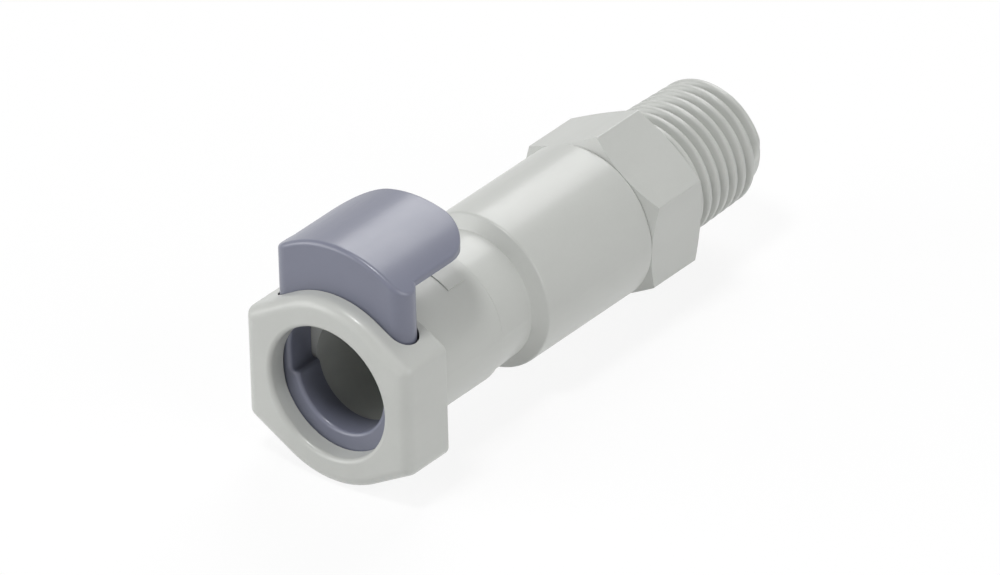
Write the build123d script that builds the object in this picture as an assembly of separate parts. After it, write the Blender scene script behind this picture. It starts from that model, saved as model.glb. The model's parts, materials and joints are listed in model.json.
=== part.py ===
"""Valved in-line quick disconnect coupling body, 1/4-18 NPT, with a thumb latch.

The flow axis is Y: the mating insert enters from -Y and the pipe thread points along +Y.
+Z is up and the latch sits on top.  The origin is on the axis at the foot of the pipe
thread, where the thread leaves the wrench hexagon.  All lengths are millimetres.
"""
from build123d import *
import os
from math import atan, cos, degrees, radians, sin, tan

# ---- lengths along the axis, front face to thread tip
flange_len = 6.2         # hexagonal head that carries the latch
barrel_len = 11.7        # plain barrel behind the head
neck_len = 4.9           # waisted neck in front of the collar
collar_len = 17.2        # valve collar
hex_len = 7.7            # wrench hexagon
thread_len = 12.5        # pipe thread

# ---- housing, outside
flange_flats = 20.0      # head across its flats
flange_corner = 1.0      # rounding of the four side corners
flange_edge = 1.2        # rounding of the front edge
flange_back_edge = 0.35
barrel_wall = 1.85       # round the bore
barrel_edge = 0.35       # soft edge at the back of the barrel
neck_step = 0.25         # drop from barrel to neck
neck_end_r = 6.9         # neck where it meets the collar
pad_rise = 0.1           # raised pad on top of the barrel
pad_edge = 0.07
pad_len = 2.6
pad_angle = 66.0         # arc that the pad covers
pad_back = 1.5           # pad edge to the end of the barrel

# ---- housing, inside
mouth_r = 6.95
mouth_edge = 0.5
ring_len = 2.0           # solid ring in front of the latch slot
land_r = 5.5             # bore behind the slot, takes the body of the insert
land_len = 6.8
seal_step = 0.6          # from the bore in to the seal bore
seal_bore_len = 4.7      # takes the o-ring of the insert
lead_in = 0.4            # chamfer into the seal bore
throat_r = 3.6
throat_len = 4.3
chamber_r = 5.6          # valve chamber
seat_angle = 45.0        # valve seat, from the axis
spigot_r = 6.5           # tail of the housing inside the collar
spigot_len = 5.4
weld_gap = 0.05          # round the spigot

# ---- thumb latch
latch_travel = 1.9
plate_t = 3.2
plate_gap = 0.1          # plate to slot, front and back
side_gap = 0.25          # plate to slot, at the ends and the bottom
plate_wall = 1.85        # beside the window
foot_lap = 0.2           # foot of the plate, below the mouth
window_gap = 0.6         # sides of the window outside the bore
window_clear = 0.1       # window over the bore when the latch is down
shelf_z = -0.5           # top of the lip at the sides
shelf_round = 0.42       # rounding of the lip's corners, seen from the front
lip_reach = 0.35         # locking lip inside the bore
lip_edge = 0.39          # rounded lead-in round the window
cap_top_z = 15.2
cap_arch_r = 12.3
cap_hw = 7.35
cap_under_z = 12.2
cap_len = 12.4
cap_corner_r = 4.2       # rear corners in plan
cap_edge = 0.35          # rounding of the rear and side edges
cap_front_edge = 0.5     # rounding of the front edge
cap_wall = 1.7
cap_rim = 1.5
post_r = 1.35            # locates the latch spring
post_len = 1.0

# ---- latch spring
lspring_r = 2.0          # mean radius
lspring_wire = 0.5
lspring_turns = 5.5
lspring_back = 3.4       # spring axis behind the flange
lpocket_gap = 0.35
lpocket_floor = 0.8      # between the spring pocket and the bore

# ---- latch pin and its spring
pin_r = 0.5
pin_fit = 0.05           # radial, in its hole
pin_len = 7.0
pin_edge = 0.12
pin_front_gap = 0.1      # pin tip to the latch plate
pin_hole_len = 11.65     # from the back of the slot
pspring_r = 0.36
pspring_wire = 0.16
pspring_turns = 9

# ---- valve
nose_r = 3.3             # ribbed nose of the poppet
nose_reach = 4.4         # nose ahead of the poppet head
nose_tip_r = 2.2
nose_tip_len = 0.8
hub_r = 1.0
rib_t = 1.1
head_r = 4.75
head_len = 3.7
head_gap = 0.3           # poppet cone to seat, square to the faces
seal_ring_t = 1.2        # section of the o-ring
seal_ring_r = 3.8        # mean radius
seal_nip = 0.03          # o-ring to the seat when shut
groove_gap = 0.04
leg_in_r = 4.95
leg_w = 1.5
leg_len = 5.0
leg_fit = 0.1
boss_r = 3.7
boss_len = 2.0
vspring_r = 4.3
vspring_wire = 0.6
vspring_turns = 7.5

# ---- pipe adapter
collar_r = 8.25
collar_edge = 0.3
collar_back_edge = 0.45  # rounding where the collar meets the hexagon
nose_cone_len = 1.0      # cone from the neck up to the collar
hex_flats = 16.1
hex_turn = -5.2          # turn of the hexagon about the axis
hex_edge = 0.2           # rounding of its six long edges
hex_front_cone = 33.0    # turned corners at its front
hex_cone = 20.0          # and at its back
spring_seat_len = 13.3   # collar nose to the seat of the valve spring
bore_r = 3.7             # flow bore
bore_lead = 0.5
thread_r = 6.9           # over the crests at the hexagon
thread_pitch = 25.4 / 18
thread_depth = 0.84
thread_taper = 1 / 32    # radius lost for each millimetre of length
thread_run = 11.7        # from the hexagon to where the ridge stops
thread_phase = 0.04      # a crest passes +Z this far from the hexagon
thread_foot = 0.45       # plain foot before the ridge
thread_foot_slope = 1.7  # rise of the ridge out of the foot
thread_tip = 0.6         # chamfer at the tip

# ---- stations along Y
y_hex = -hex_len
y_collar = y_hex - collar_len
y_neck = y_collar - neck_len
y_barrel = y_neck - barrel_len
y_face = y_barrel - flange_len
slot_y0 = y_face + ring_len
slot_y1 = slot_y0 + plate_t + 2 * plate_gap
plate_y0 = slot_y0 + plate_gap
plate_y1 = plate_y0 + plate_t
y_land = slot_y1 + land_len
y_throat = y_land + seal_bore_len
y_seat = y_throat + throat_len
seat_len = (chamber_r - throat_r) / tan(radians(seat_angle))
y_spigot = y_collar + spigot_len
y_spring_seat = y_collar + spring_seat_len
lspring_y = y_barrel + lspring_back

# ---- sizes that follow from the ones above
barrel_r = land_r + barrel_wall
seal_bore_r = land_r - seal_step
lip_r = land_r - lip_reach
window_hw = land_r + window_gap
shelf_corner = min(shelf_round, 0.45 * (window_gap + lip_reach))
plate_hw = window_hw + plate_wall
plate_foot_z = plate_hw - mouth_r - foot_lap     # centre of the rounded foot
pin_z = -(land_r + barrel_r) / 2                 # in the middle of the barrel wall
lpocket_z = land_r + lpocket_floor
cap_arch_z = cap_top_z - cap_arch_r
root_r = thread_r - thread_depth
lspring_top_z = cap_top_z - cap_wall - 0.2
seat_n = Vector(cos(radians(seat_angle)), -sin(radians(seat_angle)))   # off the seat, outwards


def slab(sketch, y0, y1):
    """A sketch drawn in X and Z, given the thickness y0 to y1."""
    return extrude(Plane.XZ.offset(-y1) * sketch, amount=y1 - y0)


def turned(*pts):
    """A solid turned about Y from (radius, y) points."""
    return revolve(make_face(Polyline(*pts, close=True)), Axis.Y, 360)


def stadium(half_x, t):
    """Section of the latch plate seen from above: full round ends."""
    return SlotOverall(2 * half_x, t)


def coil(radius, wire, turns, length):
    """A compression spring standing on Z = 0, with its ends ground flat."""
    rise = (length - wire) / turns
    path = Helix(rise, length - wire, radius)
    start = Plane(origin=path @ 0, x_dir=(0, 0, 1), z_dir=path % 0)
    wire_solid = sweep(start * Circle(wire / 2), path=path, is_frenet=True)
    return Pos(0, 0, wire / 2) * wire_solid


# ---- housing -----------------------------------------------------------------------

def head_outline():
    """Hexagon whose top and bottom corners are cut back to the inscribed circle."""
    a = flange_flats / 2
    cx, cz = a, a * tan(radians(30))
    tx, tz = a * cos(radians(60)), a * sin(radians(60))
    right = [Line((tx, -tz), (cx, -cz)), Line((cx, -cz), (cx, cz)), Line((cx, cz), (tx, tz))]
    left = [Line((-tx, tz), (-cx, cz)), Line((-cx, cz), (-cx, -cz)), Line((-cx, -cz), (-tx, -tz))]
    top = ThreePointArc((tx, tz), (0, a), (-tx, tz))
    bottom = ThreePointArc((-tx, -tz), (0, -a), (tx, -tz))
    face = make_face(right + [top] + left + [bottom])
    corners = [v for v in face.vertices() if abs(abs(v.X) - cx) < 1e-3]
    return fillet(corners, flange_corner)


def head():
    block = slab(head_outline(), y_face, y_barrel)
    front = block.faces().sort_by(Axis.Y)[0]
    back = block.faces().sort_by(Axis.Y)[-1]
    block = fillet(front.edges(), flange_edge)
    back = block.faces().sort_by(Axis.Y)[-1]
    return fillet(back.edges(), flange_back_edge)


def barrel():
    tube = turned((0, y_barrel - 1), (barrel_r, y_barrel - 1), (barrel_r, y_neck),
                  (barrel_r - neck_step, y_neck), (neck_end_r, y_collar),
                  (spigot_r, y_collar), (spigot_r, y_spigot), (0, y_spigot))
    rim = [e for e in tube.edges().filter_by(GeomType.CIRCLE)
           if abs(e.radius - barrel_r) < 1e-6 and abs(e.center().Y - y_neck) < 1e-6]
    return fillet(rim, min(barrel_edge, neck_step * 0.9))


def pad():
    """Raised pad over the back of the barrel."""
    y1 = y_neck - pad_back
    ring = turned((barrel_r - 1, y1 - pad_len), (barrel_r + pad_rise, y1 - pad_len),
                  (barrel_r + pad_rise, y1), (barrel_r - 1, y1))
    r = 2 * barrel_r
    h = radians(pad_angle / 2)
    wedge = make_face(Polyline((0, 0), (r * sin(h), r * cos(h)), (-r * sin(h), r * cos(h)),
                               close=True))
    block = ring & slab(wedge, y1 - pad_len - 1, y1 + 1)
    top = block.faces().filter_by(GeomType.CYLINDER).sort_by(Axis.Z)[-1]
    return fillet(top.edges(), pad_edge)


def slot():
    """Slot that the latch plate slides in, rounded at the foot to match it."""
    hw = plate_hw + side_gap
    section = Pos(0, (slot_y0 + slot_y1) / 2) * stadium(hw, slot_y1 - slot_y0)
    tall = Pos(0, 0, -flange_flats) * extrude(section, amount=2 * flange_flats)
    foot = plate_foot_z - latch_travel
    outline = (Pos(0, foot) * Circle(hw)
               + Pos(0, foot + flange_flats / 2) * Rectangle(2 * hw + 1, flange_flats))
    return tall & slab(outline, slot_y0 - 1, slot_y1 + 1)


def waterway():
    """Everything bored from the front: mouth, land, seal bore, throat, seat, chamber."""
    seat_y1 = y_seat + seat_len
    return turned((0, y_face - 1), (mouth_r, y_face - 1), (mouth_r, slot_y1 - plate_gap),
                  (land_r, slot_y1), (land_r, y_land), (seal_bore_r + lead_in, y_land),
                  (seal_bore_r, y_land + lead_in), (seal_bore_r, y_throat),
                  (throat_r, y_throat), (throat_r, y_seat), (chamber_r, seat_y1),
                  (chamber_r, y_spigot + 1), (0, y_spigot + 1))


def socket_body():
    body = head() + barrel() + pad() - waterway()
    mouth = [e for e in body.edges().filter_by(GeomType.CIRCLE)
             if abs(e.radius - mouth_r) < 1e-6 and abs(e.center().Y - y_face) < 1e-6]
    body = fillet(mouth, mouth_edge)
    body -= slot()
    hole = Plane(origin=(0, slot_y1 + pin_hole_len, pin_z), z_dir=(0, -1, 0)) * Circle(pin_r + pin_fit)
    body -= extrude(hole, amount=pin_hole_len + 0.5)
    well = Pos(0, lspring_y, lpocket_z) * extrude(
        Circle(lspring_r + lspring_wire / 2 + lpocket_gap), amount=barrel_r)
    return body - well


# ---- thumb latch -------------------------------------------------------------------

def arch(y0, y1, half_w, under, radius, centre_z):
    """Solid between a flat underside and an arched top."""
    section = Pos(0, centre_z) * Circle(radius)
    keep = Pos(0, under + radius) * Rectangle(2 * half_w, 2 * radius)
    return slab(section & keep, y0, y1)


def cap():
    """Thumb pad behind the plate, hollow underneath, with a post for the latch spring."""
    y0 = (plate_y0 + plate_y1) / 2
    y1 = plate_y0 + cap_len
    block = arch(y0, y1, cap_hw, cap_under_z, cap_arch_r, cap_arch_z)
    rear = [e for e in block.edges().filter_by(Axis.Z) if e.center().Y > y1 - 0.01]
    block = fillet(rear, cap_corner_r)
    top = block.faces().filter_by(GeomType.CYLINDER).sort_by(Axis.Z)[-1]
    rim = [e for e in top.edges() if e.center().Y > y0 + 0.01]
    block = fillet(rim, cap_edge)
    hollow = arch(plate_y1, y1 - cap_rim, cap_hw - cap_rim, cap_under_z - 1,
                  cap_arch_r - cap_wall, cap_arch_z)
    hollow &= Pos(0, (plate_y1 + y1) / 2, lspring_top_z - 5) * Box(4 * cap_hw, 4 * cap_len, 10)
    corners = [e for e in hollow.edges().filter_by(Axis.Z) if e.center().Y > y1 - cap_rim - 0.01]
    hollow = fillet(corners, cap_corner_r - cap_rim)
    post = Pos(0, lspring_y, lspring_top_z - post_len) * extrude(Circle(post_r), amount=post_len + 0.5)
    return block - hollow + post


def plate_blank():
    """Plate with full round ends, a round foot and the arch of the thumb pad on top."""
    section = Pos(0, (plate_y0 + plate_y1) / 2) * stadium(plate_hw, plate_t)
    foot_z = plate_foot_z - plate_hw
    tall = Pos(0, 0, foot_z) * extrude(section, amount=cap_top_z - foot_z)
    outline = (Pos(0, plate_foot_z) * Circle(plate_hw)
               + (Pos(0, plate_foot_z + cap_top_z / 2) * Rectangle(2 * plate_hw, cap_top_z)
                  & Pos(0, cap_arch_z) * Circle(cap_arch_r)))
    body = tall & slab(outline, plate_y0 - 1, plate_y1 + 1)
    top = body.faces().filter_by(GeomType.CYLINDER).sort_by(Axis.Z)[-1]
    return fillet(top.edges(), cap_front_edge)


def window():
    """Opening of the plate: room for the insert above, the locking lip below."""
    top_z = window_clear + latch_travel
    opening = (Pos(0, top_z) * Circle(window_hw)
               + Pos(0, (top_z + shelf_z) / 2) * Rectangle(2 * window_hw, top_z - shelf_z))
    opening &= Pos(0, shelf_z + flange_flats) * Rectangle(2 * flange_flats, 2 * flange_flats)
    opening += Circle(lip_r)
    corners = [v for v in opening.vertices() if abs(v.Y - shelf_z) < 1e-3]
    return fillet(corners, shelf_corner)


def plate():
    body = plate_blank() - slab(window(), plate_y0 - 1, plate_y1 + 1)
    front = body.faces().sort_by(Axis.Y)[0]
    return fillet(front.inner_wires()[0].edges(), min(lip_edge, 0.95 * shelf_corner))


def thumb_latch():
    return plate() + cap()


# ---- pipe adapter ------------------------------------------------------------------

def hex_nut():
    """Wrench hexagon.  Its flats run just under the collar, its corners stand proud."""
    outline = RegularPolygon(hex_flats / 2, 6, major_radius=False)
    outline = fillet(outline.vertices(), hex_edge)
    block = slab(Rot(0, 0, 30 + hex_turn) * outline, y_hex, 0)
    flat = hex_flats / 2
    corner = flat / cos(radians(30))
    rise = (corner - flat) * tan(radians(hex_front_cone))
    fall = (corner - flat) * tan(radians(hex_cone))
    return block & turned((0, y_hex), (flat, y_hex), (corner, y_hex + rise), (corner, -fall),
                          (flat, 0), (0, 0))


def ridge():
    """Helical ridge of the thread, a little taller and deeper than it ends up."""
    crest = thread_pitch / 16            # half widths: crest and root are an eighth of the pitch
    flank = thread_pitch * 3 / 8
    spare = thread_depth / 10
    wider = flank / 10
    section = make_face(Polyline((-spare, -crest - flank - wider), (thread_depth + spare, wider - crest),
                                 (thread_depth + spare, crest - wider),
                                 (-spare, crest + flank + wider), close=True))
    path = Helix(thread_pitch, thread_run, root_r, cone_angle=-degrees(atan(thread_taper)))
    start = Plane(origin=path @ 0, x_dir=(1, 0, 0), z_dir=path % 0)
    first_turn = -360 * thread_phase / thread_pitch
    return Rot(0, first_turn - 90, 0) * Rot(-90, 0, 0) * sweep(start * section, path=path, is_frenet=True)


def pipe_thread():
    """Tapered root with the ridge on it.  The ridge climbs out of a plain foot."""
    def at(radius, y):
        return radius - y * thread_taper, y

    foot_y = thread_foot + thread_depth / thread_foot_slope
    tip_y = thread_len - thread_tip
    bevel = (at(thread_r, thread_len)[0] - thread_tip, thread_len)
    limit = turned((0, thread_foot), at(root_r, thread_foot), at(thread_r, foot_y), at(thread_r, tip_y),
                   bevel, (0, thread_len))
    root = turned((0, -0.5), at(root_r, -0.5), at(root_r, thread_len), (0, thread_len))
    return root + (ridge() & limit)


def pipe_adapter():
    collar = turned((0, y_collar), (neck_end_r, y_collar), (collar_r, y_collar + nose_cone_len),
                    (collar_r, y_hex), (0, y_hex))
    rims = collar.edges().filter_by(GeomType.CIRCLE).sort_by(Axis.Y)
    front, back = [e for e in rims if abs(e.radius - collar_r) < 1e-6]
    collar = fillet(front, collar_edge)
    back = collar.faces().sort_by(Axis.Y)[-1].edges()
    body = fillet(back, collar_back_edge) + hex_nut() + pipe_thread()
    socket_r = spigot_r + weld_gap
    body -= turned((0, y_collar - 1), (socket_r, y_collar - 1), (socket_r, y_spigot),
                   (chamber_r, y_spigot), (chamber_r, y_spring_seat),
                   (bore_r + bore_lead, y_spring_seat), (bore_r, y_spring_seat + bore_lead),
                   (bore_r, thread_len - bore_lead), (bore_r + bore_lead, thread_len),
                   (bore_r + bore_lead, thread_len + 1), (0, thread_len + 1))
    return body


# ---- valve -------------------------------------------------------------------------

def on_seat(radius, off):
    """(radius, y) at this radius on a line `off` behind the seat cone."""
    s, t = sin(radians(seat_angle)), tan(radians(seat_angle))
    return radius, y_seat + (radius - throat_r) / t + off / s


def seal_centre():
    return on_seat(seal_ring_r, seal_nip + seal_ring_t / 2)


def valve_poppet():
    front = on_seat(nose_r, head_gap)
    shoulder = on_seat(head_r, head_gap)
    back = front[1] + head_len
    head_solid = turned((0, front[1]), front, shoulder, (head_r, back), (boss_r, back),
                        (boss_r, back + boss_len), (0, back + boss_len))
    tip = front[1] - nose_reach
    nose = turned((0, tip), (nose_tip_r - 0.4, tip), (nose_tip_r, tip + 0.4),
                  (nose_tip_r, tip + nose_tip_len), (hub_r, tip + nose_tip_len),
                  (hub_r, front[1] + 0.5), (0, front[1] + 0.5))
    rib = slab(Rectangle(2 * nose_r, rib_t) + Rectangle(rib_t, 2 * nose_r),
               tip + nose_tip_len / 2, front[1] + 0.3)
    slope = (nose_r - nose_tip_r) * 1.6
    rib &= turned((0, tip), (nose_tip_r, tip), (nose_tip_r, tip + nose_tip_len),
                  (nose_r, tip + nose_tip_len + slope), (nose_r, front[1] + 1), (0, front[1] + 1))
    legs_r = chamber_r - leg_fit
    legs = slab(Rectangle(2 * legs_r + 1, leg_w) + Rectangle(leg_w, 2 * legs_r + 1),
                shoulder[1] + 0.9, shoulder[1] + 0.9 + leg_len)
    legs &= turned((leg_in_r, y_seat), (legs_r, y_seat), (legs_r, y_spigot), (leg_in_r, y_spigot))
    web = slab(Rectangle(2 * legs_r + 1, leg_w) + Rectangle(leg_w, 2 * legs_r + 1),
               shoulder[1] + 0.9, back)
    web &= turned((head_r - 1, y_seat), (legs_r, y_seat), (legs_r, y_spigot), (head_r - 1, y_spigot))
    c = seal_centre()
    groove = revolve(Pos(*c) * Circle(seal_ring_t / 2 + groove_gap), Axis.Y, 360)
    return head_solid + nose + rib + legs + web - groove


def poppet_seal():
    return revolve(Pos(*seal_centre()) * Circle(seal_ring_t / 2), Axis.Y, 360)


def valve_spring():
    y0 = on_seat(nose_r, head_gap)[1] + head_len
    spring = coil(vspring_r, vspring_wire, vspring_turns, y_spring_seat - y0)
    return Pos(0, y0, 0) * Rot(-90, 0, 0) * spring


# ---- latch spring, pin and pin spring ----------------------------------------------

def latch_spring():
    spring = coil(lspring_r, lspring_wire, lspring_turns, lspring_top_z - lpocket_z)
    return Pos(0, lspring_y, lpocket_z) * spring


def latch_pin():
    y0 = plate_y1 + pin_front_gap
    pin = extrude(Plane(origin=(0, y0 + pin_len, pin_z), z_dir=(0, -1, 0)) * Circle(pin_r), amount=pin_len)
    return chamfer(pin.faces().sort_by(Axis.Y)[0].edges(), pin_edge)


def latch_pin_spring():
    y0 = plate_y1 + pin_front_gap + pin_len
    spring = coil(pspring_r, pspring_wire, pspring_turns, slot_y1 + pin_hole_len - y0)
    return Pos(0, y0, pin_z) * Rot(-90, 0, 0) * spring


os.makedirs("parts", exist_ok=True)
for build in (socket_body, thumb_latch, pipe_adapter, valve_poppet, poppet_seal, valve_spring,
              latch_spring, latch_pin, latch_pin_spring):
    solid = build()
    export_step(solid, f"parts/{build.__name__}.step")
    print(f"{build.__name__:18s} {solid.volume:9.2f} mm3  {len(solid.solids())} solid")
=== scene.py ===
"""Finishes, pipe thread, springs and studio for a valved quick disconnect coupling body.

The packed model is loaded first and stays as it is.  The housing, latch, valve, seal and pin
keep their packed shapes and get their finishes here.  The pipe adapter is replaced by a copy
that has its thread, and the three springs by coils.
"""

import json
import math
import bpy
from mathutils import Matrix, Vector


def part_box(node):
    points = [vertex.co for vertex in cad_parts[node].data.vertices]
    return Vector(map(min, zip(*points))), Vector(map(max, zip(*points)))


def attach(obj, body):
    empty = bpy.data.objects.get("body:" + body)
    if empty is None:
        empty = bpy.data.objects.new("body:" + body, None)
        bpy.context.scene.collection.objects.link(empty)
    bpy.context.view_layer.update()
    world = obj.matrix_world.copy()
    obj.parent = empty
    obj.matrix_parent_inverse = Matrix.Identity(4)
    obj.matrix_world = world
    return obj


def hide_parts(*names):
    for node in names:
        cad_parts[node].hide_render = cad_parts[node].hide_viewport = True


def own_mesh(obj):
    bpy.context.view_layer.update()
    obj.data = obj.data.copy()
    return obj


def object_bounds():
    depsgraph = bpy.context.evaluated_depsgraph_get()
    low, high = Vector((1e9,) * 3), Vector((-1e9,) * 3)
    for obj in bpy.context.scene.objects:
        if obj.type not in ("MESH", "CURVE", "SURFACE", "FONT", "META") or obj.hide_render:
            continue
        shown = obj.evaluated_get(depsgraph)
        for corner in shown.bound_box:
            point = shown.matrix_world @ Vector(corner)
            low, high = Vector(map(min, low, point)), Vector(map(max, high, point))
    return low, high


bl_info = {
    "name": "Quick Disconnect Coupling Body",
    "version": (1, 0, 0),
    "blender": (4, 5, 0),
    "location": "View3D > Sidebar > Coupling",
    "description": "Plastics, pipe thread, springs and studio for a thumb-latch coupling body",
    "category": "Object",
}

import bpy
from bpy.props import FloatProperty, FloatVectorProperty, IntProperty, PointerProperty
from mathutils import Matrix, Vector

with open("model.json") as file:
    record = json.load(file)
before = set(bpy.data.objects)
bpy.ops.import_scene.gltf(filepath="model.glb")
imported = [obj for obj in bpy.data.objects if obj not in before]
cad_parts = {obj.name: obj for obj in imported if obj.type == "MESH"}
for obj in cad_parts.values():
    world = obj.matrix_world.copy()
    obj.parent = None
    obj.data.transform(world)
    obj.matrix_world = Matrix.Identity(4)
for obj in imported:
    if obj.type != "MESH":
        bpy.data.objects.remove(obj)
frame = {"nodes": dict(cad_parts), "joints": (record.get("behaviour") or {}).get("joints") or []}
CAD_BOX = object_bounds()

MM = 0.001
WELD = 1e-6  # points closer than this are one point
NEAR = 0.01 * MM  # points this close to a plane or circle are on it

# thread ridge: lengths in pitches, roundings in shares of the ridge's height
CREST_HALF, ROOT_HALF = 0.175, 0.025
CREST_ROUND, ROOT_ROUND = 0.45, 0.08
FOOT_SLOPE = 1.7  # rise of the first turn out of the plain foot
TIP_ROUND = 0.06 * MM  # rounding where the ridge meets the tip's chamfer
LEAD_TURNS, SPARE_TURNS = 1.1, 0.1  # grid before the first crest and past the tip

COIL_POINTS, WIRE_SIDES = 36, 14  # in one turn of a spring, and round its wire

SENSOR_WIDTH = 36.0  # millimetres, as lenses are given
FLOOR_HALF, FLOOR_GAP = 6.0, 0.02 * MM  # half its width, and how far it lies below the part


def travel(joint):
    """How far a sliding joint moves from rest."""
    found = next(j for j in frame["joints"] if j["name"] == joint)
    return max(abs(x) for x in found["range_m"])


def length_property(name, description, default):
    return FloatProperty(name=name, description=description, default=default,
                         subtype="DISTANCE", unit="LENGTH", precision=5)


def share_property(name, description, default):
    return FloatProperty(name=name, description=description, default=default, min=0.0, max=1.0,
                         subtype="FACTOR")


def colour_property(name, description, default):
    return FloatVectorProperty(name=name, description=description, default=default, size=3,
                               min=0.0, max=1.0, subtype="COLOR")


# ---- sizes and colours -------------------------------------------------------------------

class PlasticSettings(bpy.types.PropertyGroup):
    """Moulded plastics of the housing and the latch"""
    body_colour: colour_property("Body colour", "Warm grey of the housing and adapter",
                                 (0.470, 0.480, 0.458))
    body_roughness: share_property("Body roughness", "Satin of the grey plastic", 0.42)
    latch_colour: colour_property("Latch colour", "Blue grey of the thumb latch",
                                  (0.158, 0.167, 0.221))
    latch_roughness: share_property("Latch roughness", "Smoother face of the latch", 0.36)
    mottle: share_property("Mottle", "How far the plastic's shade drifts", 0.035)
    cloud_size: length_property("Cloud size", "Size of the slow drifts in shade", 6.0 * MM)
    grain_size: length_property("Grain size", "Size of the fine mould texture", 0.14 * MM)
    grain_depth: length_property("Grain depth", "Depth of the fine mould texture", 0.0016 * MM)
    wave_depth: length_property("Wave depth", "Depth of the slow sinks in a moulded face",
                                0.010 * MM)


class ThreadSettings(bpy.types.PropertyGroup):
    """Taper pipe thread on the adapter"""
    pitch: length_property("Pitch", "Crest to crest, 18 to the inch", 25.4 / 18 * MM)
    crest_radius: length_property("Crest radius", "Over the crests at the hexagon", 6.9 * MM)
    taper: FloatProperty(name="Taper", description="Radius lost for each length along the axis",
                         default=1 / 32, min=0.0, max=0.2)
    depth: length_property("Depth", "Crest to root", 0.84 * MM)
    length: length_property("Length", "Hexagon to tip", 12.5 * MM)
    tip_chamfer: length_property("Tip chamfer", "Chamfer at the tip", 0.6 * MM)
    foot: length_property("Foot", "Plain length at the hexagon", 0.45 * MM)
    phase: length_property("Phase", "Place of the first crest on top of the adapter", 0.04 * MM)
    last_turn: FloatProperty(name="Last turn", description="Turns from the first crest to the "
                             "end of the ridge at the tip", default=8.27, min=1.0, max=40.0)
    fade: FloatProperty(name="Fade", description="Share of a turn in which the ridge dies out",
                        default=0.07, min=0.001, max=1.0)
    around: IntProperty(name="Points around", description="Points in one turn", default=144,
                        min=24, max=512)
    rows: IntProperty(name="Rows", description="Rows of points from crest to crest", default=20,
                      min=8, max=64)


class SpringSettings(bpy.types.PropertyGroup):
    """Wire and turns of the three springs"""
    latch_wire: length_property("Latch spring wire", "Wire diameter", 0.5 * MM)
    latch_turns: FloatProperty(name="Latch spring turns", description="Number of turns",
                               default=5.5, min=1.0)
    valve_wire: length_property("Valve spring wire", "Wire diameter", 0.6 * MM)
    valve_turns: FloatProperty(name="Valve spring turns", description="Number of turns",
                               default=7.5, min=1.0)
    pin_wire: length_property("Pin spring wire", "Wire diameter", 0.16 * MM)
    pin_turns: FloatProperty(name="Pin spring turns", description="Number of turns",
                             default=9.0, min=1.0)
    steel_colour: colour_property("Steel colour", "Spring steel", (0.56, 0.55, 0.52))


class StudioSettings(bpy.types.PropertyGroup):
    """Camera, lamps and floor"""
    azimuth: FloatProperty(name="Azimuth", description="Camera's turn round the coupling",
                           default=math.radians(39.4), subtype="ANGLE", unit="ROTATION")
    elevation: FloatProperty(name="Elevation", description="Camera's height above the horizon",
                             default=math.radians(31.09), subtype="ANGLE", unit="ROTATION")
    roll: FloatProperty(name="Roll", description="Camera's turn about its own axis",
                        default=math.radians(-1.595), subtype="ANGLE", unit="ROTATION")
    distance: length_property("Distance", "Camera to the point it looks at", 1.3096)
    lens: FloatProperty(name="Lens", description="Focal length on a 36 mm wide sensor",
                        default=489.87, min=20.0, subtype="DISTANCE_CAMERA")
    look_at: FloatVectorProperty(name="Look at", description="Point that the camera looks at",
                                 default=(0.0, -22.7 * MM, 0.0), size=3, subtype="XYZ",
                                 unit="LENGTH", precision=5)
    side_step: length_property("Side step", "Camera moved to its right", 0.956 * MM)
    up_step: length_property("Up step", "Camera moved up", -0.275 * MM)
    sky: FloatProperty(name="Sky", description="Even light from all round", default=0.02,
                       min=0.0, max=2.0)
    back_light: FloatProperty(name="Back light", description="Level of the lamp behind and above",
                              default=0.52, min=0.0, max=3.0)
    top_light: FloatProperty(name="Top light", description="Level of the lamp over the mouth",
                             default=0.45, min=0.0, max=3.0)
    right_light: FloatProperty(name="Right light", description="Level of the lamp at the right",
                               default=0.48, min=0.0, max=3.0)
    left_light: FloatProperty(name="Left light", description="Level of the lamp at the front "
                              "left", default=0.67, min=0.0, max=3.0)
    lamp_distance: length_property("Lamp distance", "Lamps to the coupling", 0.5)
    shadow: share_property("Shadow", "How much of the floor's shadow shows", 0.12)


# ---- node graphs -------------------------------------------------------------------------

class Value:
    """An output socket that takes part in ordinary arithmetic, one Math node at a time."""

    def __init__(self, graph, socket):
        self.graph, self.socket = graph, socket

    def maths(self, operation, *terms):
        return self.graph.add("ShaderNodeMath", {"operation": operation},
                              dict(enumerate(terms)))[0]

    def __add__(self, other):
        return self.maths("ADD", self, other)

    def __sub__(self, other):
        return self.maths("SUBTRACT", self, other)

    def __rsub__(self, other):
        return self.maths("SUBTRACT", other, self)

    def __mul__(self, other):
        return self.maths("MULTIPLY", self, other)

    def __truediv__(self, other):
        return self.maths("DIVIDE", self, other)

    def __gt__(self, other):
        return self.maths("GREATER_THAN", self, other)

    def least(self, other, blend=0.0):
        """The smaller of two values; within blend of each other they round into one."""
        if blend:
            return self.maths("SMOOTH_MIN", self, other, blend)
        return self.maths("MINIMUM", self, other)

    def most(self, other, blend=0.0):
        """The larger of two values, rounded in the same way."""
        if blend:
            return self.maths("SMOOTH_MAX", self, other, blend)
        return self.maths("MAXIMUM", self, other)

    def nearest_whole(self):
        return self.maths("ROUND", self)

    def size(self):
        return self.maths("ABSOLUTE", self)

    def sine(self):
        return self.maths("SINE", self)

    def cosine(self):
        return self.maths("COSINE", self)


class Made:
    """A node that was added; its outputs are read by name or number."""

    def __init__(self, graph, node):
        self.graph, self.node = graph, node

    def __getitem__(self, output):
        return Value(self.graph, self.node.outputs[output])


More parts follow.
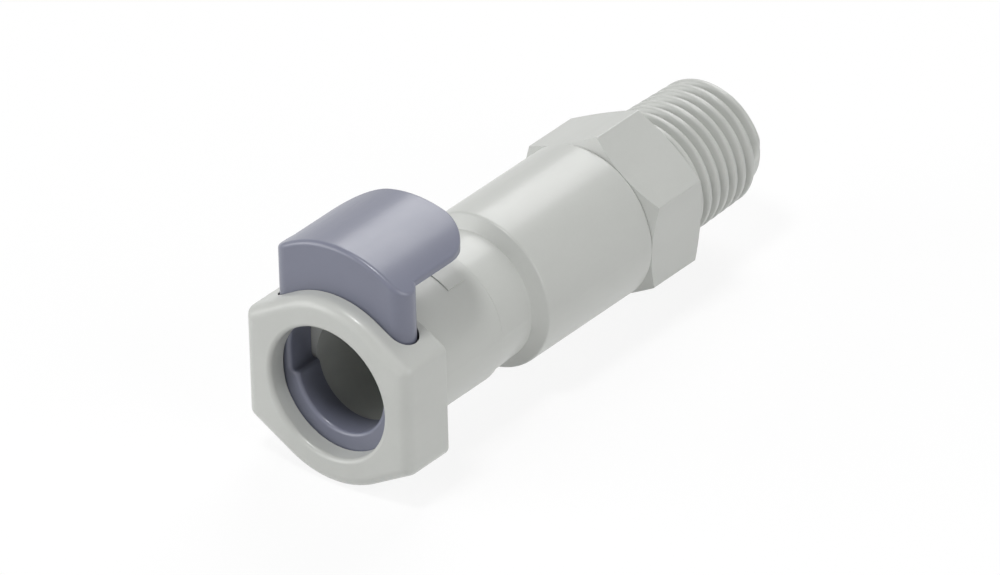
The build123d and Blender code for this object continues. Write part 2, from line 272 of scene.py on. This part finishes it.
class Graph:
    """A shader or geometry tree under construction."""

    def __init__(self, tree):
        self.tree = tree

    def add(self, kind, settings=None, inputs=None):
        """Adds a node.  Settings go on first, then the values and links of its inputs."""
        node = self.tree.nodes.new(kind)
        for name, value in (settings or {}).items():
            setattr(node, name, value)
        for key, value in (inputs or {}).items():
            if isinstance(value, Value):
                self.tree.links.new(value.socket, node.inputs[key])
            else:
                node.inputs[key].default_value = value
        return Made(self, node)

    def mix(self, factor, first, second):
        """A colour between two colours."""
        return self.add("ShaderNodeMix", {"data_type": "RGBA"},
                        {0: factor, 6: first, 7: second})[2]

    def noise(self, place, size, detail=2.0, roughness=0.5):
        """Noise from 0 to 1 whose features are about this size."""
        return self.add("ShaderNodeTexNoise", None,
                        {"Vector": place, "Scale": 1 / size, "Detail": detail,
                         "Roughness": roughness})["Fac"]

    def stretched(self, place, stretch):
        """A place scaled along each axis, so that a pattern is drawn out where it is below 1."""
        return self.add("ShaderNodeMapping", None, {"Vector": place, "Scale": stretch})["Vector"]

    def combine(self, x, y, z):
        return self.add("ShaderNodeCombineXYZ", None, {0: x, 1: y, 2: z})[0]

    def bump(self, height, distance, under=None):
        """A normal for a relief of this depth, laid over the one under it."""
        inputs = {"Height": height, "Distance": distance, "Strength": 1.0}
        if under is not None:
            inputs["Normal"] = under
        return self.add("ShaderNodeBump", None, inputs)["Normal"]


def looked_at(graph):
    """1 for rays that show a thing to the camera, 0 for its light on other things."""
    path = graph.add("ShaderNodeLightPath")
    return (path["Is Camera Ray"] + path["Is Glossy Ray"]
            + path["Is Transmission Ray"]).least(1.0)


def rgba(colour, level=1.0):
    return tuple(min(1.0, c * level) for c in colour) + (1.0,)


def new_material(name):
    """A material, its graph and its Principled shader."""
    material = bpy.data.materials.new(name)
    material.use_nodes = True
    shader = next(n for n in material.node_tree.nodes if n.type == "BSDF_PRINCIPLED")
    return material, Graph(material.node_tree), shader


def feed(graph, shader, **sockets):
    """Values and links for a Principled shader; underscores in a name stand for spaces."""
    for name, value in sockets.items():
        socket = shader.inputs[name.replace("_", " ")]
        if isinstance(value, Value):
            graph.tree.links.new(value.socket, socket)
        else:
            socket.default_value = value


# ---- materials ---------------------------------------------------------------------------

def moulded_plastic(name, colour, roughness, flow=(1.0, 1.0, 1.0)):
    """Satin moulded plastic: slow drifts in shade, fine specks, mould texture and soft sinks.

    The drifts run along an axis where flow is below 1.
    """
    size = bpy.context.scene.coupling_plastic
    speck_size = size.grain_size * 2.5
    rub_size, wave_size = size.cloud_size * 0.35, size.cloud_size * 0.55
    speck_share, contrast = 0.25, 2.2  # of the shade's pattern
    rub_swing, speck_swing = 0.16, 0.10  # of the roughness
    rub_flow = (3.0, 0.5, 3.0)  # rubbed marks run along the coupling
    material, graph, shader = new_material(name)
    place = graph.add("ShaderNodeTexCoord")["Object"]
    drift = graph.noise(graph.stretched(place, flow), size.cloud_size, detail=3.0,
                        roughness=0.6)
    speck = graph.noise(place, speck_size, detail=2.0, roughness=0.7)
    shade = (drift * (1 - speck_share) + speck * speck_share - 0.5) * contrast + 0.5
    tint = graph.mix(shade, rgba(colour, 1 - size.mottle), rgba(colour, 1 + size.mottle))
    rub = graph.noise(graph.stretched(place, rub_flow), rub_size, detail=4.0,
                      roughness=0.65)
    gloss = (rub - 0.5) * rub_swing + (speck - 0.5) * speck_swing + roughness
    waves = graph.noise(place, wave_size, detail=1.0)
    grain = graph.noise(place, size.grain_size, detail=2.0, roughness=0.6)
    normal = graph.bump(waves, size.wave_depth)
    normal = graph.bump(grain, size.grain_depth, normal)
    feed(graph, shader, Base_Color=tint, Roughness=gloss, Normal=normal, IOR=1.48,
         Coat_Weight=0.20, Coat_Roughness=0.18)
    return material


def spring_steel(colour):
    """Drawn wire: bright metal with fine lines along the wire and a few stains across it."""
    material, graph, shader = new_material("spring_steel")
    around = graph.add("ShaderNodeAttribute", {"attribute_name": "wire_around"})["Fac"]
    along = graph.add("ShaderNodeAttribute", {"attribute_name": "wire_along"})["Fac"]
    line = graph.noise(graph.combine(around * 9.0, along * 6.0, 0.0), 1.0, detail=3.0)
    stain = graph.noise(graph.combine(around * 1.5, along * 14.0, 3.0), 1.0, detail=2.0)
    feed(graph, shader,
         Base_Color=graph.mix(stain, rgba(colour, 0.86), rgba(colour, 1.1)),
         Roughness=(line - 0.5) * 0.25 + 0.30, Metallic=1.0,
         Normal=graph.bump(line, 0.002 * MM))
    return material


def ground_steel(colour):
    """Ground pin: bright metal with lines round it."""
    material, graph, shader = new_material("ground_steel")
    place = graph.add("ShaderNodeTexCoord")["Object"]
    line = graph.noise(graph.stretched(place, (0.4, 8.0, 0.4)), 0.6 * MM, detail=4.0)
    feed(graph, shader,
         Base_Color=graph.mix(line, rgba(colour, 0.88), rgba(colour, 1.12)),
         Roughness=(line - 0.5) * 0.2 + 0.28, Metallic=1.0,
         Normal=graph.bump(line, 0.0015 * MM))
    return material


def seal_rubber():
    """Black seal rubber with a matt, slightly dusty skin."""
    material, graph, shader = new_material("seal_rubber")
    place = graph.add("ShaderNodeTexCoord")["Object"]
    dust = graph.noise(place, 1.2 * MM, detail=4.0, roughness=0.65)
    pores = graph.noise(place, 0.09 * MM, detail=2.0)
    feed(graph, shader,
         Base_Color=graph.mix(dust, (0.012, 0.012, 0.013, 1.0), (0.030, 0.030, 0.031, 1.0)),
         Roughness=(dust - 0.5) * 0.2 + 0.58,
         Normal=graph.bump(pores, 0.003 * MM))
    return material


# ---- meshes from geometry trees ----------------------------------------------------------

def new_tree(name, sizes):
    """A geometry tree with named inputs; returns its graph and the inputs as values."""
    tree = bpy.data.node_groups.new(name, "GeometryNodeTree")
    kinds = {"float": "NodeSocketFloat", "int": "NodeSocketInt", "vector": "NodeSocketVector",
             "material": "NodeSocketMaterial"}
    for label, kind in sizes.items():
        tree.interface.new_socket(label, in_out="INPUT", socket_type=kinds[kind])
    tree.interface.new_socket("Geometry", in_out="OUTPUT", socket_type="NodeSocketGeometry")
    graph = Graph(tree)
    given = graph.add("NodeGroupInput")
    return graph, {label: given[label] for label in sizes}


def finish_tree(graph, geometry, material):
    """Ends a tree in Realize Instances and Set Material."""
    whole = graph.add("GeometryNodeRealizeInstances", None, {"Geometry": geometry})["Geometry"]
    dressed = graph.add("GeometryNodeSetMaterial", None,
                        {"Geometry": whole, "Material": material})["Geometry"]
    graph.add("NodeGroupOutput", None, {"Geometry": dressed})


def thread_tree():
    """Outside of a threaded nipple along +Y: a tapered root with one helical ridge on it.

    The grid's rows run along the helix, so the ridge's edges follow rows.  Rows past either
    end are held at that end, and the last row closes the end face in to the bore.  Places
    along the axis are counted in pitches, with whole numbers on the ridge's crest.
    """
    graph, size = new_tree("Pipe thread", {
        "Pitch": "float", "Crest Radius": "float", "Taper": "float", "Depth": "float",
        "Length": "float", "Tip Chamfer": "float", "Foot": "float", "Phase": "float",
        "Last Turn": "float", "Fade": "float", "Bore Edge": "float", "Around": "int",
        "Rows per Turn": "int", "Rows": "int", "Material": "material"})
    grid = graph.add("GeometryNodeMeshGrid", None,
                     {"Size X": 1.0, "Size Y": 1.0, "Vertices X": size["Around"] + 1,
                      "Vertices Y": size["Rows"] + 1})["Mesh"]
    spot = graph.add("ShaderNodeSeparateXYZ", None,
                     {0: graph.add("GeometryNodeInputPosition")["Position"]})
    turn = spot[0] + 0.5
    row = (spot[1] + 0.5) * size["Rows"]
    angle = turn * (2 * math.pi)
    free = row / size["Rows per Turn"] - LEAD_TURNS
    low = (0.0 - size["Phase"]) / size["Pitch"] - turn
    high = (size["Length"] - size["Phase"]) / size["Pitch"] - turn
    held = free.most(low).least(high)
    y = (held + turn) * size["Pitch"] + size["Phase"]
    crest = held.nearest_whole()
    off = (held - crest).size()
    # a broad crest rounded into the flanks, over a narrow root
    slope = (0.5 - ROOT_HALF - off) / (0.5 - ROOT_HALF - CREST_HALF)
    section = slope.least(1.0, CREST_ROUND).most(0.0, ROOT_ROUND)
    end = ((size["Last Turn"] - (crest + turn)) / size["Fade"]).most(0.0).least(1.0)
    root = size["Crest Radius"] - size["Depth"] - size["Taper"] * y
    ridge = root + size["Depth"] * section * end
    foot = root + (y - size["Foot"]).most(0.0) * FOOT_SLOPE
    tip = (size["Crest Radius"] - size["Taper"] * size["Length"] - size["Tip Chamfer"]
           + size["Length"] - y)
    radius = ridge.least(foot).least(tip, TIP_ROUND)
    closing = row > size["Rows"] - 0.5  # 1 on the last row, else 0
    radius = radius + closing * (size["Bore Edge"] - radius)
    moved = graph.add("GeometryNodeSetPosition", None, {
        "Geometry": grid,
        "Position": graph.combine(radius * angle.sine(), y, radius * angle.cosine())})["Geometry"]
    closed = graph.add("GeometryNodeMergeByDistance", None,
                       {"Geometry": moved, "Distance": WELD})["Geometry"]
    finish_tree(graph, closed, size["Material"])
    return graph.tree


def coil_tree():
    """Round wire wound into a coil that stands on its foot point."""
    graph, size = new_tree("Coil spring", {
        "Coil Radius": "float", "Wire": "float", "Turns": "float", "Length": "float",
        "Foot": "vector", "Along": "vector", "Side": "vector", "Points": "int",
        "Wire Sides": "int", "Material": "material"})
    line = graph.add("GeometryNodeCurvePrimitiveLine")["Curve"]
    path = graph.add("GeometryNodeResampleCurve", None,
                     {"Curve": line, "Count": size["Points"]})["Curve"]
    share = graph.add("GeometryNodeSplineParameter")["Factor"]
    angle = share * size["Turns"] * (2 * math.pi)
    rise = size["Wire"] * 0.5 + (size["Length"] - size["Wire"]) * share
    place = size["Foot"]
    for axis, amount in (((1.0, 0.0, 0.0), size["Coil Radius"] * angle.cosine()),
                         (size["Side"], size["Coil Radius"] * angle.sine()),
                         (size["Along"], rise)):
        arm = graph.add("ShaderNodeVectorMath", {"operation": "SCALE"},
                        {0: axis, "Scale": amount})[0]
        place = graph.add("ShaderNodeVectorMath", {"operation": "ADD"}, {0: place, 1: arm})[0]
    path = graph.add("GeometryNodeSetPosition", None, {"Geometry": path, "Position": place})
    path = graph.add("GeometryNodeStoreNamedAttribute",
                     {"data_type": "FLOAT", "domain": "POINT"},
                     {"Geometry": path["Geometry"], "Name": "wire_along",
                      "Value": share * size["Turns"]})["Geometry"]
    ring = graph.add("GeometryNodeCurvePrimitiveCircle", None,
                     {"Resolution": size["Wire Sides"], "Radius": size["Wire"] * 0.5})["Curve"]
    round_share = graph.add("GeometryNodeSplineParameter")["Factor"]
    ring = graph.add("GeometryNodeStoreNamedAttribute",
                     {"data_type": "FLOAT", "domain": "POINT"},
                     {"Geometry": ring, "Name": "wire_around",
                      "Value": (round_share * (2 * math.pi)).cosine()})["Geometry"]
    wire = graph.add("GeometryNodeCurveToMesh", None,
                     {"Curve": path, "Profile Curve": ring, "Fill Caps": True})["Mesh"]
    finish_tree(graph, wire, size["Material"])
    return graph.tree


def grown(name, tree, sizes):
    """An object at the origin that holds the plain mesh a geometry tree makes."""
    holder = bpy.data.objects.new(name, bpy.data.meshes.new(name))
    bpy.context.scene.collection.objects.link(holder)
    modifier = holder.modifiers.new("Shape", "NODES")
    modifier.node_group = tree
    left = set(sizes)
    for item in tree.interface.items_tree:
        if item.item_type == "SOCKET" and item.in_out == "INPUT" and item.name in sizes:
            modifier[item.identifier] = sizes[item.name]
            left.discard(item.name)
    if left:
        raise ValueError(f"{tree.name} has no inputs named {sorted(left)}")
    whole = holder.evaluated_get(bpy.context.evaluated_depsgraph_get())
    mesh = bpy.data.meshes.new_from_object(whole)
    holder.modifiers.remove(modifier)
    holder.data = mesh
    mesh.name = name
    return holder


def finish_mesh(mesh, angle=35.0):
    """Smooth faces with sharp edges past an angle."""
    mesh.shade_smooth()
    mesh.set_sharp_from_angle(angle=math.radians(angle))
    mesh.update()


def joined(name, parts):
    """One mesh of some faces of several meshes, each corner with the normal that it had."""
    points, faces, normals = [], [], []
    for mesh, kept in parts:
        place = {}
        for face in kept:
            for i in face.vertices:
                if i not in place:
                    place[i] = len(points)
                    points.append(mesh.vertices[i].co.copy())
            faces.append([place[i] for i in face.vertices])
            normals += [mesh.corner_normals[i].vector.copy() for i in face.loop_indices]
    whole = bpy.data.meshes.new(name)
    whole.from_pydata(points, [], faces, shade_flat=False)
    whole.normals_split_custom_set(normals)
    return whole


def dress(node, material):
    """Gives a packed part its material."""
    mesh = frame["nodes"][node].data
    mesh.materials.clear()
    mesh.materials.append(material)


# ---- operators ---------------------------------------------------------------------------

def grey_plastic():
    """The grey plastic that several parts share."""
    size = bpy.context.scene.coupling_plastic
    return bpy.data.materials.get("moulded_grey") or moulded_plastic(
        "moulded_grey", size.body_colour, size.body_roughness, flow=(1.0, 0.45, 1.0))


class COUPLING_OT_socket_body(bpy.types.Operator):
    """Finish the housing in grey moulded plastic"""
    bl_idname = "coupling.socket_body"
    bl_label = "Socket body"

    def execute(self, context):
        dress("socket_body", grey_plastic())
        return {"FINISHED"}


class COUPLING_OT_threaded_adapter(bpy.types.Operator):
    """Build the pipe adapter with its taper thread"""
    bl_idname = "coupling.threaded_adapter"
    bl_label = "Threaded adapter"

    def execute(self, context):
        size, grey = context.scene.coupling_thread, grey_plastic()
        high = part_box("pipe_adapter")[1]
        if abs(high.y - size.length) > 5 * NEAR:
            raise ValueError("the thread's length isn't the packed adapter's")
        packed = frame["nodes"]["pipe_adapter"].data

        def far_out(point):
            return math.hypot(point.x, point.z)

        # the end face runs in to the edge of the bore
        points = packed.vertices
        edge = min(far_out(v.co) for v in points if v.co.y > high.y - NEAR)
        # the packed collar, hexagon and bore stay, and its thread goes
        kept = [f for f in packed.polygons
                if max(points[i].co.y for i in f.vertices) < NEAR
                or min(far_out(points[i].co) for i in f.vertices) < edge - 2 * NEAR]
        turns = size.length / size.pitch + LEAD_TURNS + SPARE_TURNS
        skin = grown("thread_skin", thread_tree(), {
            "Pitch": size.pitch, "Crest Radius": size.crest_radius, "Taper": size.taper,
            "Depth": size.depth, "Length": size.length, "Tip Chamfer": size.tip_chamfer,
            "Foot": size.foot, "Phase": size.phase, "Last Turn": size.last_turn,
            "Fade": size.fade, "Bore Edge": edge, "Around": size.around,
            "Rows per Turn": size.rows, "Rows": math.ceil(turns * size.rows) + 1,
            "Material": grey})
        finish_mesh(skin.data)
        mesh = joined("threaded_adapter", [(packed, kept), (skin.data, skin.data.polygons)])
        bpy.data.objects.remove(skin)
        mesh.materials.append(grey)
        adapter = bpy.data.objects.new("threaded_adapter", mesh)
        context.scene.collection.objects.link(adapter)
        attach(adapter, "housing")
        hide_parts("pipe_adapter")
        return {"FINISHED"}


class COUPLING_OT_thumb_latch(bpy.types.Operator):
    """Finish the thumb latch in blue grey plastic"""
    bl_idname = "coupling.thumb_latch"
    bl_label = "Thumb latch"

    def execute(self, context):
        size = context.scene.coupling_plastic
        dress("thumb_latch",
              moulded_plastic("moulded_blue", size.latch_colour, size.latch_roughness))
        return {"FINISHED"}


class COUPLING_OT_valve(bpy.types.Operator):
    """Finish the poppet and its seal"""
    bl_idname = "coupling.valve"
    bl_label = "Valve"

    def execute(self, context):
        dress("valve_poppet", grey_plastic())
        dress("poppet_seal", seal_rubber())
        return {"FINISHED"}


class COUPLING_OT_springs(bpy.types.Operator):
    """Wind the latch, valve and pin springs"""
    bl_idname = "coupling.springs"
    bl_label = "Springs"

    def execute(self, context):
        size = context.scene.coupling_springs
        steel = spring_steel(size.steel_colour)
        tree = coil_tree()
        up, along_y = Vector((0.0, 0.0, 1.0)), Vector((0.0, 1.0, 0.0))
        # one end of a spring stays put while its moving end follows the joint
        for node, joint, wire, turns, along, side, moving_end in (
                ("latch_spring", "latch_press", size.latch_wire, size.latch_turns, up,
                 along_y, "high"),
                ("valve_spring", "valve_stroke", size.valve_wire, size.valve_turns, along_y,
                 -up, "low"),
                ("latch_pin_spring", "pin_retract", size.pin_wire, size.pin_turns, along_y,
                 -up, "low")):
            low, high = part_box(node)
            middle = (low + high) / 2
            length = (high - low).dot(along)
            foot = middle - along * (length / 2)
            piece = grown(node + "_coil", tree, {
                "Coil Radius": (high.x - low.x - wire) / 2, "Wire": wire, "Turns": turns,
                "Length": length, "Foot": foot, "Along": along, "Side": side,
                "Points": math.ceil(turns * COIL_POINTS), "Wire Sides": WIRE_SIDES,
                "Material": steel})
            finish_mesh(piece.data, angle=50.0)
            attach(piece, "housing")
            1 - travel(joint) / length
            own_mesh(piece)
            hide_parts(node)
        return {"FINISHED"}


class COUPLING_OT_latch_pin(bpy.types.Operator):
    """Finish the latch pin in ground steel"""
    bl_idname = "coupling.latch_pin"
    bl_label = "Latch pin"

    def execute(self, context):
        dress("latch_pin", ground_steel(context.scene.coupling_springs.steel_colour))
        return {"FINISHED"}


def view_axes(azimuth, elevation, roll):
    """A camera's right, up and back; azimuth 0 looks along +Y."""
    back = Vector((math.sin(azimuth) * math.cos(elevation),
                   -math.cos(azimuth) * math.cos(elevation), math.sin(elevation)))
    right = Vector((math.cos(azimuth), math.sin(azimuth), 0.0))
    up = back.cross(right)
    c, s = math.cos(roll), math.sin(roll)
    return right * c + up * s, up * c - right * s, back


class COUPLING_OT_stage(bpy.types.Operator):
    """Set up the floor, lamps, sky and camera"""
    bl_idname = "coupling.stage"
    bl_label = "Studio"

    def execute(self, context):
        scene = context.scene
        size = scene.coupling_studio
        self.camera(scene, size)
        self.floor(scene, size)
        self.sky(scene, size)
        for name, way, level, width in (
                ("back_lamp", (-0.29, 0.66, 0.69), size.back_light, 0.30),
                ("top_lamp", (0.0, -0.34, 0.94), size.top_light, 0.09),
                ("right_lamp", (0.90, -0.05, 0.42), size.right_light, 0.35),
                ("left_lamp", (-0.69, -0.69, 0.21), size.left_light, 0.35)):
            self.lamp(scene, size, name, Vector(way).normalized(), level, width)
        scene.view_settings.view_transform = "Standard"
        return {"FINISHED"}

    def camera(self, scene, size):
        data = bpy.data.cameras.new("camera")
        data.sensor_width, data.lens = SENSOR_WIDTH, size.lens
        data.clip_start, data.clip_end = 0.05, 20.0
        camera = bpy.data.objects.new("camera", data)
        right, up, back = view_axes(size.azimuth, size.elevation, size.roll)
        place = (Vector(size.look_at) + back * size.distance + right * size.side_step
                 + up * size.up_step)
        turn = Matrix((right, up, back)).transposed().to_4x4()
        camera.matrix_world = Matrix.Translation(place) @ turn
        scene.collection.objects.link(camera)
        scene.camera = camera

    def lamp(self, scene, size, name, way, level, width):
        """A square lamp that faces the coupling from this way."""
        data = bpy.data.lights.new(name, "AREA")
        data.size = width
        data.energy = level * (math.pi * size.lamp_distance) ** 2
        lamp = bpy.data.objects.new(name, data)
        lamp.location = Vector(size.look_at) + way * size.lamp_distance
        lamp.rotation_euler = way.to_track_quat("Z", "Y").to_euler()
        scene.collection.objects.link(lamp)

    def floor(self, scene, size):
        """A wide white floor under the coupling, on which only part of a shadow shows."""
        half, height = FLOOR_HALF, CAD_BOX[0].z - FLOOR_GAP
        mesh = bpy.data.meshes.new("floor")
        mesh.from_pydata([(-half, -half, height), (half, -half, height), (half, half, height),
                          (-half, half, height)], [], [(0, 1, 2, 3)])
        floor = bpy.data.objects.new("floor", mesh)
        scene.collection.objects.link(floor)
        material, graph, shader = new_material("floor_white")
        feed(graph, shader, Base_Color=(0.94, 0.94, 0.94, 1.0), Roughness=0.9)
        seen = looked_at(graph)
        glow = graph.add("ShaderNodeEmission", None, {"Strength": 1.0})["Emission"]
        output = next(n for n in material.node_tree.nodes if n.type == "OUTPUT_MATERIAL")
        blend = graph.add("ShaderNodeMixShader", None,
                          {0: seen * (1 - size.shadow), 2: glow})
        graph.tree.links.new(shader.outputs[0], blend.node.inputs[1])
        graph.tree.links.new(blend.node.outputs[0], output.inputs["Surface"])
        mesh.materials.append(material)

    def sky(self, scene, size):
        """Even light from all round, which looks white where it is seen."""
        world = bpy.data.worlds.new("sky")
        scene.world = world
        world.use_nodes = True
        graph = Graph(world.node_tree)
        background = next(n for n in world.node_tree.nodes if n.type == "BACKGROUND")
        background.inputs["Color"].default_value = (1.0, 1.0, 1.0, 1.0)
        seen = looked_at(graph)
        strength = seen + (1 - seen) * size.sky
        graph.tree.links.new(strength.socket, background.inputs["Strength"])


STEPS = (COUPLING_OT_stage, COUPLING_OT_socket_body, COUPLING_OT_threaded_adapter,
         COUPLING_OT_thumb_latch, COUPLING_OT_valve, COUPLING_OT_springs, COUPLING_OT_latch_pin)


class COUPLING_PT_sidebar(bpy.types.Panel):
    """Sizes, finishes and steps of the coupling"""
    bl_idname = "COUPLING_PT_sidebar"
    bl_label = "Coupling"
    bl_space_type = "VIEW_3D"
    bl_region_type = "UI"
    bl_category = "Coupling"

    def draw(self, context):
        for attribute, group in GROUPS.items():
            box = self.layout.box()
            box.label(text=group.__doc__)
            for name in group.__annotations__:
                box.prop(getattr(context.scene, attribute), name)
        for step in STEPS:
            self.layout.operator(step.bl_idname)


GROUPS = {"coupling_plastic": PlasticSettings, "coupling_thread": ThreadSettings,
          "coupling_springs": SpringSettings, "coupling_studio": StudioSettings}


def register():
    for cls in (*GROUPS.values(), *STEPS, COUPLING_PT_sidebar):
        bpy.utils.register_class(cls)
    for attribute, group in GROUPS.items():
        setattr(bpy.types.Scene, attribute, PointerProperty(type=group))


def unregister():
    for attribute in GROUPS:
        delattr(bpy.types.Scene, attribute)
    for cls in reversed((*GROUPS.values(), *STEPS, COUPLING_PT_sidebar)):
        bpy.utils.unregister_class(cls)


def main():
    register()
    for step in STEPS:
        family, name = step.bl_idname.split(".")
        getattr(getattr(bpy.ops, family), name)()


if __name__ == "__main__":
    main()
